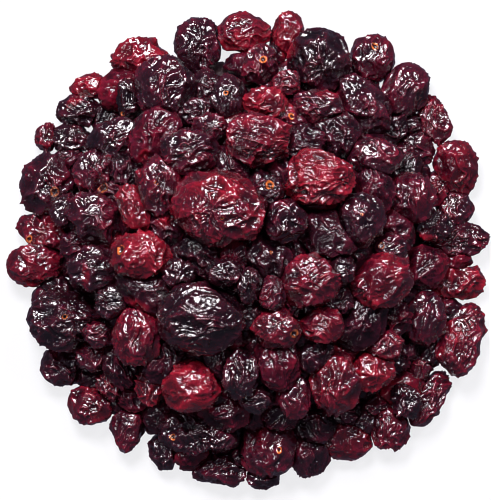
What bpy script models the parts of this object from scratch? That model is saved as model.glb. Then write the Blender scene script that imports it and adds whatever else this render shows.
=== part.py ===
"""A heap of whole dried cranberries, lying on a flat surface and fused into one solid.

Metres, +Z up. The origin is on the surface that the heap lies on, under its middle.
A low turned core fills the inside, and every berry that shows is a dented ellipsoid with few sides.
The layout works in millimetres: berries from a list keep their places, smaller ones fill in below
and between them, and all of them settle onto the core, the surface and each other.
"""

import math

import bmesh
import bpy
import numpy as np
from mathutils import Euler

MM = 0.001
HEAP = "cranberry_heap"

# The heap and its turned core, in millimetres.
HEAP_RADIUS = 37.0
CORE_RADIUS = 31.0
CORE_HEIGHT = 17.0
CORE_STEPS = 24
CORE_ARC_POINTS = 6
SLAB_DEPTH = 10.0

# The berries that show: x and y of the middle, length, width, and the turn of the length from +X in degrees.
SHOWN_BERRIES = [
    (-4.7, 5.4, 14.9, 11.5, -12),
    (10.6, 10.4, 10.6, 9.1, 0),
    (-15.7, -1.2, 9.9, 7.2, 0),
    (1.0, 16.4, 10.8, 7.8, 0),
    (9.4, -4.9, 8.9, 8.3, 0),
    (20.4, -5.4, 9.8, 8.4, 15),
    (-6.9, -10.9, 12.6, 11.7, 0),
    (17.3, 4.0, 8.3, 7.3, 90),
    (25.0, 7.6, 7.8, 7.3, 90),
    (19.2, 13.8, 8.8, 6.8, 0),
    (17.7, 21.9, 10.2, 7.3, -60),
    (24.0, 23.9, 9.4, 7.8, 60),
    (19.3, 29.3, 7.6, 6.9, 90),
    (11.1, 29.2, 10.6, 9.6, 90),
    (6.5, 32.8, 8.0, 5.4, 80),
    (-0.2, 33.4, 8.6, 7.0, 0),
    (-8.0, 30.8, 10.3, 7.2, 90),
    (1.5, 27.5, 6.5, 5.5, 90),
    (6.0, 25.5, 5.0, 4.5, 0),
    (3.0, 22.0, 6.5, 5.5, 0),
    (11.0, 21.5, 8.0, 5.5, 0),
    (-2.9, 23.2, 6.8, 5.4, 90),
    (-12.8, 24.2, 10.6, 9.8, 90),
    (-17.3, 29.2, 8.4, 7.2, 0),
    (-19.0, 23.5, 6.5, 4.5, 90),
    (-26.0, 21.5, 7.0, 5.5, 0),
    (-27.0, 17.5, 6.5, 5.5, 0),
    (-24.4, 24.9, 6.0, 4.0, 10),
    (-20.5, 16.5, 9.0, 6.0, 35),
    (-23.5, 12.0, 7.5, 7.0, 90),
    (-30.8, 10.4, 9.9, 8.6, 90),
    (-31.5, 17.5, 4.5, 3.5, 90),
    (-31.2, 3.1, 9.6, 6.2, -20),
    (-32.2, -2.8, 9.6, 6.8, 0),
    (-23.4, 4.9, 9.4, 7.3, -25),
    (-14.0, 10.0, 9.5, 7.5, 90),
    (-8.5, 14.5, 9.5, 7.5, 0),
    (-5.8, 18.1, 5.7, 4.9, 0),
    (-17.0, 6.5, 8.5, 5.0, -65),
    (-23.5, -3.0, 8.5, 7.0, 0),
    (-28.7, -10.7, 10.6, 9.3, 0),
    (-21.0, -8.0, 5.5, 5.5, 0),
    (-16.8, -13.4, 8.8, 7.4, 90),
    (-22.5, -13.0, 5.5, 4.5, 0),
    (-10.5, -4.0, 5.5, 4.5, 0),
    (-3.5, -4.0, 6.0, 4.5, 0),
    (3.0, 9.0, 5.5, 5.0, 0),
    (6.0, 4.0, 7.0, 6.5, 0),
    (0.5, -6.0, 5.5, 4.5, 90),
    (3.5, -7.0, 5.5, 4.5, 90),
    (4.0, -12.3, 7.8, 6.3, 0),
    (11.5, -12.0, 6.5, 5.5, 0),
    (14.5, -3.5, 4.5, 4.5, 0),
    (22.0, -0.5, 5.0, 4.5, 0),
    (32.0, 1.0, 10.5, 6.0, 10),
    (32.3, -4.9, 9.0, 5.3, 10),
    (32.0, 6.5, 6.5, 5.5, 90),
    (32.4, 12.1, 8.8, 6.4, 105),
    (28.8, 20.0, 8.2, 4.9, 105),
    (25.7, 15.3, 6.1, 5.5, 0),
    (29.5, 3.0, 6.5, 4.5, 0),
    (27.1, -10.4, 8.4, 7.4, 90),
    (33.0, -13.8, 11.5, 6.8, 70),
    (26.5, -19.0, 7.0, 4.5, 70),
    (21.0, -15.0, 6.0, 4.5, 0),
    (19.1, -18.7, 7.0, 6.3, 0),
    (13.1, -20.5, 9.8, 8.0, 90),
    (7.5, -22.5, 7.5, 5.5, 90),
    (20.5, -24.5, 6.0, 4.5, 0),
    (15.4, -29.4, 8.8, 6.2, -12),
    (21.9, -27.8, 6.8, 6.2, 90),
    (28.0, -23.4, 9.8, 5.0, 62),
    (-1.0, -19.0, 8.0, 6.0, 90),
    (-8.3, -21.2, 8.8, 8.4, 0),
    (1.5, -23.0, 5.0, 4.5, 0),
    (-7.9, -28.9, 12.8, 7.3, -5),
    (3.0, -30.9, 9.7, 9.0, 90),
    (9.5, -31.5, 7.1, 6.8, 90),
    (-4.8, -34.2, 8.4, 5.2, -10),
    (2.7, -35.3, 5.2, 3.9, 0),
    (-14.9, -21.3, 5.8, 4.4, 90),
    (-21.0, -21.5, 5.0, 4.5, 90),
    (-24.3, -24.0, 7.2, 6.3, -20),
    (-28.3, -17.9, 7.4, 6.0, 0),
    (-23.5, -16.5, 5.5, 5.0, 0),
    (-18.8, -27.7, 7.8, 5.8, 80),
    (-12.6, -31.2, 6.6, 5.0, 90),
    (25.2, 19.3, 5.6, 4.8, 30),
    (24.3, -23.4, 5.8, 4.8, 120),
    (-30.4, -6.6, 5.8, 4.4, 0),
    (29.5, 9.4, 5.6, 4.4, 90),
    (-28.2, 5.8, 5.6, 4.4, 60),
    (18.6, -27.0, 5.4, 4.6, 0),
]

# A listed size is what shows of a berry, which reaches a little under its neighbours.
SHOWN_GROWTH = 1.0
# Thickness of a berry as a share of its width, and the least that it may be, in millimetres.
THICKNESS_SHARE = 0.8
LEAST_THICKNESS = 4.0
# Largest lean and roll out of the level, in degrees.
MOST_TIP = 16.0

# Berries that fill the gaps between the listed ones: where they may lie, how many places are tried,
# the narrowest gap that takes one, how far it reaches under its neighbours, and the widths it may have.
BETWEEN_REACH = 33.5
BETWEEN_TRIES = 4000
LEAST_GAP = 0.55
UNDER_REACH = 1.8
BETWEEN_WIDTHS = (5.0, 8.0)
BETWEEN_LENGTH_SHARES = (1.05, 1.4)
BETWEEN_DROP = 2.6

# Smaller berries under those: how many, how far apart, and their lengths, in millimetres.
LOWER_BERRIES = 90
LOWER_SPACING = 5.2
LOWER_REACH = 32.5
LOWER_LENGTHS = (6.5, 9.0)
LOWER_WIDTH_SHARES = (0.72, 0.92)
HEAP_SEED = 11

# Places near the rim where the surface shows between berries.
GAPS = np.array([(-3.5, 29.0), (8.5, 26.5), (-13.0, -24.0)])
GAP_CLEARANCE = 3.5

# Radius and height of the domes that the middles of the listed and of the lower berries sink to.
SHOWN_DOME = (31.0, 18.0)
LOWER_DOME = (27.0, 12.5)
# Settling: rounds, the sink in each round, and how close two skins may press, as a share of their reach.
ROUNDS = 160
SINK = 0.2
PRESS = 0.81
FLOOR_PRESS = 0.9
# A listed berry starts above its dome by this share of its width, and drifts this far from its place at most.
START_SHARE = 0.7
MOST_DRIFT = 0.35

# Dents of each berry, as shares of its half size.
DENTS = 5
DENT_DEPTHS = (0.03, 0.16)
DENT_WIDTHS = (0.35, 0.8)
MOST_TAPER = 0.16
FORM_SEED = 500
# A wide berry is an icosphere cut twice, a small one a globe of few segments and rings, and a hidden one
# an icosphere cut once. All are made a little larger, so that their volume is right.
SMALL_WIDTH = 7.0
GLOBE_SEGMENTS = 7
GLOBE_RINGS = 4
FEW_SIDES_GROWTH = 1.04

SKIN_COLOUR = (0.10, 0.012, 0.018, 1.0)
SKIN_ROUGHNESS = 0.32


def dome_height(dome, radius):
    """Height of a dome over a distance from the middle, in millimetres."""
    return dome[1] * np.sqrt(np.clip(1.0 - (radius / dome[0]) ** 2, 0.0, 1.0))


def scattered(draw, reach, count):
    """Places thrown at random over a disc."""
    radius = reach * np.sqrt(draw.uniform(0.0, 1.0, count))
    angle = draw.uniform(0.0, 2.0 * math.pi, count)
    return np.stack([radius * np.cos(angle), radius * np.sin(angle)], axis=1)


def clear_of_gaps(places):
    distance = np.linalg.norm(places[:, None, :] - GAPS[None, :, :], axis=2)
    return places[distance.min(axis=1) > GAP_CLEARANCE]


def gap_round(places, row):
    """Distance from each place to the outline that a berry covers, seen from above."""
    x, y, _, length, width, turn = row
    across = np.array([math.cos(math.radians(turn)), math.sin(math.radians(turn))])
    offset = places - (x, y)
    along = offset @ across
    beside = offset @ (-across[1], across[0])
    share = np.hypot(along / (0.5 * length), beside / (0.5 * width))
    return np.hypot(along, beside) * (1.0 - 1.0 / np.maximum(share, 1e-6))


def listed_rows():
    """The listed berries: x, y, starting height, length, width and turn."""
    rows = []
    for x, y, length, width, turn in SHOWN_BERRIES:
        start = dome_height(SHOWN_DOME, math.hypot(x, y)) + START_SHARE * width
        rows.append((x, y, start, length * SHOWN_GROWTH, width * SHOWN_GROWTH, turn))
    return rows


def between_rows(draw, rows):
    """A berry in the widest gap left, again and again, until the gaps are narrow."""
    places = clear_of_gaps(scattered(draw, BETWEEN_REACH, BETWEEN_TRIES))
    room = np.min([gap_round(places, row) for row in rows], axis=0)
    found = []
    while room.max() > LEAST_GAP:
        x, y = places[room.argmax()]
        width = min(max(2.0 * (room.max() + UNDER_REACH), BETWEEN_WIDTHS[0]), BETWEEN_WIDTHS[1])
        length = width * draw.uniform(*BETWEEN_LENGTH_SHARES)
        height = max(dome_height(SHOWN_DOME, math.hypot(x, y)) - BETWEEN_DROP, 0.0)
        found.append((x, y, height, length, width, draw.uniform(0.0, 180.0)))
        room = np.minimum(room, gap_round(places, found[-1]))
    return found


def lower_rows(draw):
    """The berries below, thrown at random and kept when they are apart."""
    rows = []
    places = np.empty((0, 2))
    for place in clear_of_gaps(scattered(draw, LOWER_REACH, 40 * LOWER_BERRIES)):
        crowd = np.sum(np.linalg.norm(places - place, axis=1) < LOWER_SPACING)
        if crowd == 0 and len(rows) < LOWER_BERRIES:
            places = np.vstack([places, place])
            length = draw.uniform(*LOWER_LENGTHS)
            width = length * draw.uniform(*LOWER_WIDTH_SHARES)
            height = dome_height(LOWER_DOME, np.linalg.norm(place))
            rows.append((*place, height, length, width, draw.uniform(0.0, 180.0)))
    return rows


def laid_out():
    """Middles, half sizes and axes of all berries before they settle, and the count of each kind."""
    draw = np.random.default_rng(HEAP_SEED)
    listed = listed_rows()
    between = between_rows(draw, listed)
    lower = lower_rows(draw)
    halves = []
    axes = []
    for _, _, _, length, width, turn in listed + between + lower:
        thickness = max(THICKNESS_SHARE * width, LEAST_THICKNESS)
        halves.append((length / 2.0, width / 2.0, thickness / 2.0))
        tip = np.radians(draw.uniform(-MOST_TIP, MOST_TIP, 2))
        axes.append(np.array(Euler((tip[0], tip[1], math.radians(turn))).to_matrix()))
    middles = np.array([row[:3] for row in listed + between + lower])
    return middles, np.array(halves), np.array(axes), (len(listed), len(between), len(lower))


def settled():
    """The berries after settling, and how many show. Those keep near their places, the others move freely."""
    middles, halves, axes, (listed, between, _) = laid_out()
    shown = listed + between
    homes = middles[:shown, :2].copy()
    half_heights = np.sqrt(np.sum((axes[:, 2, :] * halves) ** 2, axis=1))
    for _ in range(ROUNDS):
        middles[:, 2] -= SINK
        apart = middles[:, None, :] - middles[None, :, :]
        distance = np.linalg.norm(apart, axis=2) + np.eye(len(middles)) * 1000.0
        towards = apart / distance[:, :, None]
        own = np.einsum("ijk,ikl->ijl", towards, axes) / halves[:, None, :]
        reach = 1.0 / np.maximum(np.linalg.norm(own, axis=2), 1e-9)
        overlap = np.maximum(PRESS * (reach + reach.T) - distance, 0.0)
        contacts = np.maximum(np.sum(overlap > 0.0, axis=1), 1)
        middles += np.sum(towards * overlap[:, :, None], axis=1) / np.sqrt(contacts)[:, None] * 0.5
        drift = middles[:shown, :2] - homes
        middles[:shown, :2] = homes + np.clip(drift, -MOST_DRIFT, MOST_DRIFT)
        radius = np.linalg.norm(middles[:, :2], axis=1)
        outward = (np.maximum(radius - LOWER_REACH, 0.0) / radius)[:, None] * middles[:, :2]
        middles[shown:, :2] -= outward[shown:]
        lowest = dome_height(LOWER_DOME, radius) + 0.3 * half_heights
        lowest[:listed] = dome_height(SHOWN_DOME, radius[:listed])
        lowest[listed:shown] = dome_height(SHOWN_DOME, radius[listed:shown]) - BETWEEN_DROP
        middles[:, 2] = np.maximum(middles[:, 2], np.maximum(lowest, FLOOR_PRESS * half_heights))
    return middles, halves, axes, shown


def skin_points(unit, number, half):
    """Points of a berry's skin in its own axes, for unit directions: an ellipsoid with a taper and dents."""
    draw = np.random.default_rng(FORM_SEED + number)
    reach = np.ones(len(unit))
    for _ in range(DENTS):
        middle = draw.normal(size=3)
        middle /= np.linalg.norm(middle)
        depth = draw.uniform(*DENT_DEPTHS)
        width = draw.uniform(*DENT_WIDTHS)
        reach -= depth * np.exp(-np.sum((unit - middle) ** 2, axis=1) / width**2)
    points = unit * reach[:, None] * half
    taper = draw.uniform(-MOST_TAPER, MOST_TAPER)
    points[:, 1:] *= (1.0 + taper * unit[:, 0])[:, None]
    return points


def skin_material():
    material = bpy.data.materials.new("cranberry_skin")
    material.use_nodes = True
    shader = material.node_tree.nodes["Principled BSDF"]
    shader.inputs["Base Color"].default_value = SKIN_COLOUR
    shader.inputs["Roughness"].default_value = SKIN_ROUGHNESS
    shader.inputs["Metallic"].default_value = 0.0
    return material


def make_core(collection):
    """The core: half an ellipse and a flat foot below the surface, turned about Z."""
    foot = -0.5 * SLAB_DEPTH
    profile = [(0.0, CORE_HEIGHT)]
    for step in range(1, CORE_ARC_POINTS + 1):
        angle = 0.5 * math.pi * step / CORE_ARC_POINTS
        profile.append((CORE_RADIUS * math.sin(angle), CORE_HEIGHT * math.cos(angle)))
    profile.append((CORE_RADIUS, foot))
    profile.append((0.0, foot))
    mesh = bpy.data.meshes.new(HEAP)
    points = [(x * MM, 0.0, z * MM) for x, z in profile]
    mesh.from_pydata(points, [(i, i + 1) for i in range(len(points) - 1)], [])
    core = bpy.data.objects.new(HEAP, mesh)
    collection.objects.link(core)
    screw = core.modifiers.new("turn", "SCREW")
    screw.steps = CORE_STEPS
    screw.render_steps = CORE_STEPS
    screw.use_merge_vertices = True
    screw.merge_threshold = 0.0001
    apply_modifiers(core)
    return core


def unit_form(width, hidden):
    """A closed form of radius 1, with sides by the berry's width."""
    form = bmesh.new()
    if hidden:
        bmesh.ops.create_icosphere(form, subdivisions=1, radius=1.0)
    elif width < SMALL_WIDTH:
        poles_along_x = Euler((0.0, 0.5 * math.pi, 0.0)).to_matrix().to_4x4()
        bmesh.ops.create_uvsphere(
            form, u_segments=GLOBE_SEGMENTS, v_segments=GLOBE_RINGS, radius=1.0, matrix=poles_along_x
        )
    else:
        bmesh.ops.create_icosphere(form, subdivisions=2, radius=1.0)
    return form


def make_berry(collection, number, middle, half, axes, hidden):
    """One berry with few sides, in place."""
    form = unit_form(2.0 * half[1], hidden)
    unit = np.array([vert.co for vert in form.verts])
    unit /= np.linalg.norm(unit, axis=1)[:, None]
    points = skin_points(unit, number, half * FEW_SIDES_GROWTH) @ axes.T + middle
    for vert, point in zip(form.verts, points):
        vert.co = point * MM
    mesh = bpy.data.meshes.new(f"berry_{number:03d}")
    form.to_mesh(mesh)
    form.free()
    berry = bpy.data.objects.new(mesh.name, mesh)
    collection.objects.link(berry)
    return berry


def make_slab(collection):
    """What lies below the surface, to be cut off the heap."""
    form = bmesh.new()
    bmesh.ops.create_cube(form, size=1.0)
    width = 3.0 * HEAP_RADIUS * MM
    bmesh.ops.scale(form, vec=(width, width, SLAB_DEPTH * MM), verts=form.verts)
    bmesh.ops.translate(form, vec=(0.0, 0.0, -0.5 * SLAB_DEPTH * MM), verts=form.verts)
    mesh = bpy.data.meshes.new("slab")
    form.to_mesh(mesh)
    form.free()
    slab = bpy.data.objects.new("slab", mesh)
    slab.hide_render = True
    slab.display_type = "WIRE"
    collection.objects.link(slab)
    return slab


def apply_modifiers(thing):
    """Replaces the object's mesh by its evaluated mesh."""
    bpy.context.view_layer.update()
    evaluated = thing.evaluated_get(bpy.context.evaluated_depsgraph_get())
    mesh = bpy.data.meshes.new_from_object(evaluated)
    thing.modifiers.clear()
    thing.data = mesh


def remove_collection(collection):
    for thing in list(collection.objects):
        bpy.data.objects.remove(thing)
    bpy.data.collections.remove(collection)


def keep_outer_skin(mesh):
    """Keeps the largest closed skin: sealed hollows are filled and loose scraps dropped."""
    form = bmesh.new()
    form.from_mesh(mesh)
    left = set(form.faces)
    skins = []
    while left:
        skin = set()
        front = [left.pop()]
        while front:
            face = front.pop()
            skin.add(face)
            near = {other for edge in face.edges for other in edge.link_faces} & left
            left -= near
            front.extend(near)
        skins.append(skin)
    largest = max(skins, key=lambda skin: sum(face.calc_area() for face in skin))
    scraps = [face for face in form.faces if face not in largest]
    bmesh.ops.delete(form, geom=scraps, context="FACES")
    form.to_mesh(mesh)
    form.free()


def main():
    for thing in list(bpy.data.objects):
        bpy.data.objects.remove(thing)
    heap_parts = bpy.data.collections.new(HEAP)
    berries = bpy.data.collections.new("berries")
    cutters = bpy.data.collections.new("cutters")
    for collection in (heap_parts, berries, cutters):
        bpy.context.scene.collection.children.link(collection)

    heap = make_core(heap_parts)
    middles, halves, axes, shown = settled()
    for number in range(len(middles)):
        make_berry(berries, number, middles[number], halves[number], axes[number], number >= shown)

    union = heap.modifiers.new("berries", "BOOLEAN")
    union.operation = "UNION"
    union.operand_type = "COLLECTION"
    union.collection = berries
    union.solver = "MANIFOLD"
    cut = heap.modifiers.new("flat base", "BOOLEAN")
    cut.operation = "DIFFERENCE"
    cut.object = make_slab(cutters)
    cut.solver = "MANIFOLD"
    apply_modifiers(heap)
    remove_collection(berries)
    remove_collection(cutters)

    keep_outer_skin(heap.data)
    heap.data.materials.clear()
    heap.data.materials.append(skin_material())
    heap.data.shade_smooth()
    heap.data.set_sharp_from_angle(angle=math.radians(50.0))


main()
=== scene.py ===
"""The looks of a heap of whole dried cranberries: wrinkled, glossy berries over a core dark with painted
shade.

The layout is the part's own, in millimetres: berries from a list keep their places, smaller ones fill in
between them and below, and all of them settle. A few more close openings of the rim. Each berry then gets
its own folds, creases and tone.
"""

import math

import bmesh
import bpy
import numpy as np
from mathutils import Euler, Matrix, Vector


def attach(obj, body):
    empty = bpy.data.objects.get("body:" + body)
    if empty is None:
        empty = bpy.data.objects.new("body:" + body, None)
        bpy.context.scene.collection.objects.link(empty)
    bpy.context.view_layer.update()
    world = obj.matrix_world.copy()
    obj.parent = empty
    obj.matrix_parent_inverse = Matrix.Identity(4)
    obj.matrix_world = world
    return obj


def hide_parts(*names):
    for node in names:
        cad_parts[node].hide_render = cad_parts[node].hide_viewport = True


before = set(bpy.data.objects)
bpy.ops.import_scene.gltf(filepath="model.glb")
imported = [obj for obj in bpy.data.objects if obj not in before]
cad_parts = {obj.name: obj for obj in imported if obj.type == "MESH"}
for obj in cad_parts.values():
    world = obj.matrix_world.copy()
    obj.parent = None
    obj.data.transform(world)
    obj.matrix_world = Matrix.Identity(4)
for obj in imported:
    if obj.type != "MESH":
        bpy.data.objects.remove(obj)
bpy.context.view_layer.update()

MM = 0.001
HEAP = "cranberry_heap"

# A distance that never counts as near, and one that stands in for zero in a division, in millimetres.
FAR = 1000.0
TINY = 1e-9

# Tones of a berry, from 0, nearly black, to 1, vivid red.
TONES = {"black": 0.06, "plum": 0.24, "maroon": 0.42, "red": 0.66, "vivid": 0.92}

# The berries that show: x and y of the middle, length, width, the turn of the length from +X in degrees,
# and tone.
SHOWN_BERRIES = [
    (-4.7, 5.4, 14.9, 11.5, -12, "red"),
    (10.6, 10.4, 10.6, 9.1, 0, "vivid"),
    (-15.7, -1.2, 9.9, 7.2, 0, "vivid"),
    (1.0, 16.4, 10.8, 7.8, 0, "red"),
    (9.4, -4.9, 8.9, 8.3, 0, "red"),
    (20.4, -5.4, 9.8, 8.4, 15, "red"),
    (-6.9, -10.9, 12.6, 11.7, 0, "black"),
    (17.3, 4.0, 8.3, 7.3, 90, "black"),
    (25.0, 7.6, 7.8, 7.3, 90, "maroon"),
    (19.2, 13.8, 8.8, 6.8, 0, "maroon"),
    (17.7, 21.9, 10.2, 7.3, -60, "plum"),
    (24.0, 23.9, 9.4, 7.8, 60, "plum"),
    (19.3, 29.3, 7.6, 6.9, 90, "maroon"),
    (11.1, 29.2, 10.6, 9.6, 90, "black"),
    (6.5, 32.8, 8.0, 5.4, 80, "vivid"),
    (-0.2, 33.4, 8.6, 7.0, 0, "red"),
    (-8.0, 30.8, 10.3, 7.2, 90, "plum"),
    (1.5, 27.5, 6.5, 5.5, 90, "maroon"),
    (6.0, 25.5, 5.0, 4.5, 0, "red"),
    (3.0, 22.0, 6.5, 5.5, 0, "vivid"),
    (11.0, 21.5, 8.0, 5.5, 0, "maroon"),
    (-2.9, 23.2, 6.8, 5.4, 90, "black"),
    (-12.8, 24.2, 10.6, 9.8, 90, "plum"),
    (-17.3, 29.2, 8.4, 7.2, 0, "vivid"),
    (-19.0, 23.5, 6.5, 4.5, 90, "black"),
    (-26.0, 21.5, 7.0, 5.5, 0, "black"),
    (-27.0, 17.5, 6.5, 5.5, 0, "black"),
    (-24.4, 24.9, 6.0, 4.0, 10, "vivid"),
    (-20.5, 16.5, 9.0, 6.0, 35, "plum"),
    (-23.5, 12.0, 7.5, 7.0, 90, "maroon"),
    (-30.8, 10.4, 9.9, 8.6, 90, "plum"),
    (-31.5, 17.5, 4.5, 3.5, 90, "red"),
    (-31.2, 3.1, 9.6, 6.2, -20, "red"),
    (-32.2, -2.8, 9.6, 6.8, 0, "red"),
    (-23.4, 4.9, 9.4, 7.3, -25, "plum"),
    (-14.0, 10.0, 9.5, 7.5, 90, "maroon"),
    (-8.5, 14.5, 9.5, 7.5, 0, "maroon"),
    (-5.8, 18.1, 5.7, 4.9, 0, "maroon"),
    (-17.0, 6.5, 8.5, 5.0, -65, "vivid"),
    (-23.5, -3.0, 8.5, 7.0, 0, "black"),
    (-28.7, -10.7, 10.6, 9.3, 0, "black"),
    (-21.0, -8.0, 5.5, 5.5, 0, "black"),
    (-16.8, -13.4, 8.8, 7.4, 90, "red"),
    (-22.5, -13.0, 5.5, 4.5, 0, "maroon"),
    (-10.5, -4.0, 5.5, 4.5, 0, "black"),
    (-3.5, -4.0, 6.0, 4.5, 0, "black"),
    (3.0, 9.0, 5.5, 5.0, 0, "black"),
    (6.0, 4.0, 7.0, 6.5, 0, "black"),
    (0.5, -6.0, 5.5, 4.5, 90, "black"),
    (3.5, -7.0, 5.5, 4.5, 90, "maroon"),
    (4.0, -12.3, 7.8, 6.3, 0, "red"),
    (11.5, -12.0, 6.5, 5.5, 0, "red"),
    (14.5, -3.5, 4.5, 4.5, 0, "black"),
    (22.0, -0.5, 5.0, 4.5, 0, "plum"),
    (32.0, 1.0, 10.5, 6.0, 10, "maroon"),
    (32.3, -4.9, 9.0, 5.3, 10, "vivid"),
    (32.0, 6.5, 6.5, 5.5, 90, "maroon"),
    (32.4, 12.1, 8.8, 6.4, 105, "red"),
    (28.8, 20.0, 8.2, 4.9, 105, "red"),
    (25.7, 15.3, 6.1, 5.5, 0, "maroon"),
    (29.5, 3.0, 6.5, 4.5, 0, "black"),
    (27.1, -10.4, 8.4, 7.4, 90, "maroon"),
    (33.0, -13.8, 11.5, 6.8, 70, "red"),
    (26.5, -19.0, 7.0, 4.5, 70, "maroon"),
    (21.0, -15.0, 6.0, 4.5, 0, "red"),
    (19.1, -18.7, 7.0, 6.3, 0, "vivid"),
    (13.1, -20.5, 9.8, 8.0, 90, "red"),
    (7.5, -22.5, 7.5, 5.5, 90, "maroon"),
    (20.5, -24.5, 6.0, 4.5, 0, "maroon"),
    (15.4, -29.4, 8.8, 6.2, -12, "red"),
    (21.9, -27.8, 6.8, 6.2, 90, "red"),
    (28.0, -23.4, 9.8, 5.0, 62, "maroon"),
    (-1.0, -19.0, 8.0, 6.0, 90, "black"),
    (-8.3, -21.2, 8.8, 8.4, 0, "vivid"),
    (1.5, -23.0, 5.0, 4.5, 0, "black"),
    (-7.9, -28.9, 12.8, 7.3, -5, "black"),
    (3.0, -30.9, 9.7, 9.0, 90, "maroon"),
    (9.5, -31.5, 7.1, 6.8, 90, "plum"),
    (-4.8, -34.2, 8.4, 5.2, -10, "plum"),
    (2.7, -35.3, 5.2, 3.9, 0, "black"),
    (-14.9, -21.3, 5.8, 4.4, 90, "vivid"),
    (-21.0, -21.5, 5.0, 4.5, 90, "red"),
    (-24.3, -24.0, 7.2, 6.3, -20, "red"),
    (-28.3, -17.9, 7.4, 6.0, 0, "plum"),
    (-23.5, -16.5, 5.5, 5.0, 0, "maroon"),
    (-18.8, -27.7, 7.8, 5.8, 80, "maroon"),
    (-12.6, -31.2, 6.6, 5.0, 90, "plum"),
    (25.2, 19.3, 5.6, 4.8, 30, "black"),
    (24.3, -23.4, 5.8, 4.8, 120, "black"),
    (-30.4, -6.6, 5.8, 4.4, 0, "black"),
    (29.5, 9.4, 5.6, 4.4, 90, "maroon"),
    (-28.2, 5.8, 5.6, 4.4, 60, "black"),
    (18.6, -27.0, 5.4, 4.6, 0, "black"),
]

# Thickness of a berry as a share of its width, and the least that it may be, in millimetres.
THICKNESS_SHARE = 0.8
LEAST_THICKNESS = 4.0
# Largest lean and roll out of the level, in degrees.
MOST_TIP = 16.0

# Berries that fill the gaps between the listed ones: how far out they may lie, how many places are tried,
# the narrowest gap that takes one, how far it reaches under its neighbours, the widths it may have, its
# lengths as shares of the width, and how far it lies under the dome of the listed ones.
BETWEEN_REACH = 33.5
BETWEEN_TRIES = 4000
LEAST_GAP = 0.55
UNDER_REACH = 1.8
BETWEEN_WIDTHS = (5.0, 8.0)
BETWEEN_LENGTH_SHARES = (1.05, 1.4)
BETWEEN_DROP = 2.6

# Smaller berries under those: how many at most, how many places are tried for each, how far apart and how
# far out they lie, their lengths, and their widths as shares of the length.
LOWER_BERRIES = 90
LOWER_TRIES = 40
LOWER_SPACING = 5.2
LOWER_REACH = 32.5
LOWER_LENGTHS = (6.5, 9.0)
LOWER_WIDTH_SHARES = (0.72, 0.92)
HEAP_SEED = 11

# Places near the rim where the surface shows between berries.
GAPS = np.array([(-3.5, 29.0), (8.5, 26.5), (-13.0, -24.0)])
GAP_CLEARANCE = 3.5

# Radius and height of the domes that the middles of the listed and of the lower berries sink to.
SHOWN_DOME = (31.0, 18.0)
LOWER_DOME = (27.0, 12.5)
# Settling: rounds, the sink in each round, how close two skins may press, as a share of their reach, how
# close a berry comes to the surface, as a share of its half height, the share of an overlap that a berry
# gives way by, and how far the lower ones stay over their dome, as a share of their half height.
ROUNDS = 160
SINK = 0.2
PRESS = 0.81
FLOOR_PRESS = 0.9
GIVE_WAY = 0.5
LOWER_LIFT = 0.3
# A listed berry starts above its dome by this share of its width, and one that shows drifts this far from
# its place at most.
START_SHARE = 0.7
MOST_DRIFT = 0.35

# Growth in length and width of a berry that shows, once it lies in place.
LAID_GROWTH = 1.055

# Berries moved once they lie in place: number in the list, then x and y in millimetres.
MOVES = {17: (0.3, 0.8), 15: (0.1, -0.3)}
# Small berries pushed into openings of the rim, and finished like the lower ones: x, y and height of the
# middle, length, width and turn.
FILLERS = [
    (-27.7, 14.0, 2.2, 6.2, 4.6, 20),
    (28.6, -16.4, 2.2, 6.0, 4.4, 60),
    (32.4, -1.9, 2.0, 5.6, 3.8, 5),
    (18.3, 25.2, 2.2, 5.2, 4.4, 30),
    (15.5, 27.4, 2.2, 4.8, 3.8, 90),
    (23.8, -17.5, 2.8, 4.8, 4.0, 40),
    (-1.4, -32.5, 2.0, 4.6, 3.6, 90),
    (-31.8, -7.4, 2.0, 4.8, 3.6, 70),
    (4.4, 30.2, 2.0, 4.4, 3.4, 100),
]

# Dents of each berry, as shares of its half size, and how much thinner or thicker its one end may be.
DENTS = 5
DENT_DEPTHS = (0.03, 0.16)
DENT_WIDTHS = (0.35, 0.8)
MOST_TAPER = 0.16
FORM_SEED = 500

# Cuts of the icosphere that a berry starts as: lower ones, the others, and listed ones longer than this.
LOWER_CUTS = 4
SHOWN_CUTS = 5
LARGE_CUTS = 6
LARGE_LENGTH = 10.4
# How far the points crowd on to the upper side, where the light and the eye fall.
CROWD_UP = 0.5

# Smooth noise: how many plane waves it adds up, and the spread of their lengths.
WAVE_COUNT = 14
WAVE_SPREAD = (0.7, 1.4)

# Wrinkles, in millimetres, on a berry of the usual mean half size: folds between cells, then creases, then
# crinkles. Each has its spacing or wave, its height, its softness or sharpness, and its bend, which is the
# wave and the reach of the noise that bends its lines. A growth is the power of a berry's size by which the
# spacing or wave grows.
WRINKLE_SEED = 900
USUAL_HALF = 3.5
FOLD_SPACING = 3.1
FOLD_GROWTH = 0.5
FOLD_HEIGHT = 0.68
FOLD_SOFTNESS = 0.05
FOLD_CREST = 2.2
LEAST_CELLS = 6
FOLD_BEND = (4.0, 0.5)
CREASE_WAVE = 2.0
CREASE_GROWTH = 0.3
CREASE_HEIGHT = 0.46
CREASE_SHARPNESS = 3.0
CREASE_BEND = (3.5, 0.6)
CRINKLE_WAVE = 1.15
CRINKLE_HEIGHT = 0.27
CRINKLE_SHARPNESS = 2.3
CRINKLE_BEND = (2.0, 0.25)
# How hollow the skin is between creases and between crinkles.
HOLLOWNESS = 0.75
# Share of the berries whose creases run lengthwise, how close to the axis those are told apart, as a share
# of the half width, and the largest turn of the others' creases, in radians.
LENGTHWISE_SHARE = 0.5
LEAST_ROD = 0.3
MOST_CREASE_TURN = 1.2
# Least and most that lines are drawn out along the berry, how much more so the creases, and the least and
# most strength of a berry's wrinkles.
STRETCHES = (1.2, 2.0)
CREASE_STRETCH = 1.5
WILDNESS = (0.75, 1.25)
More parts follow.
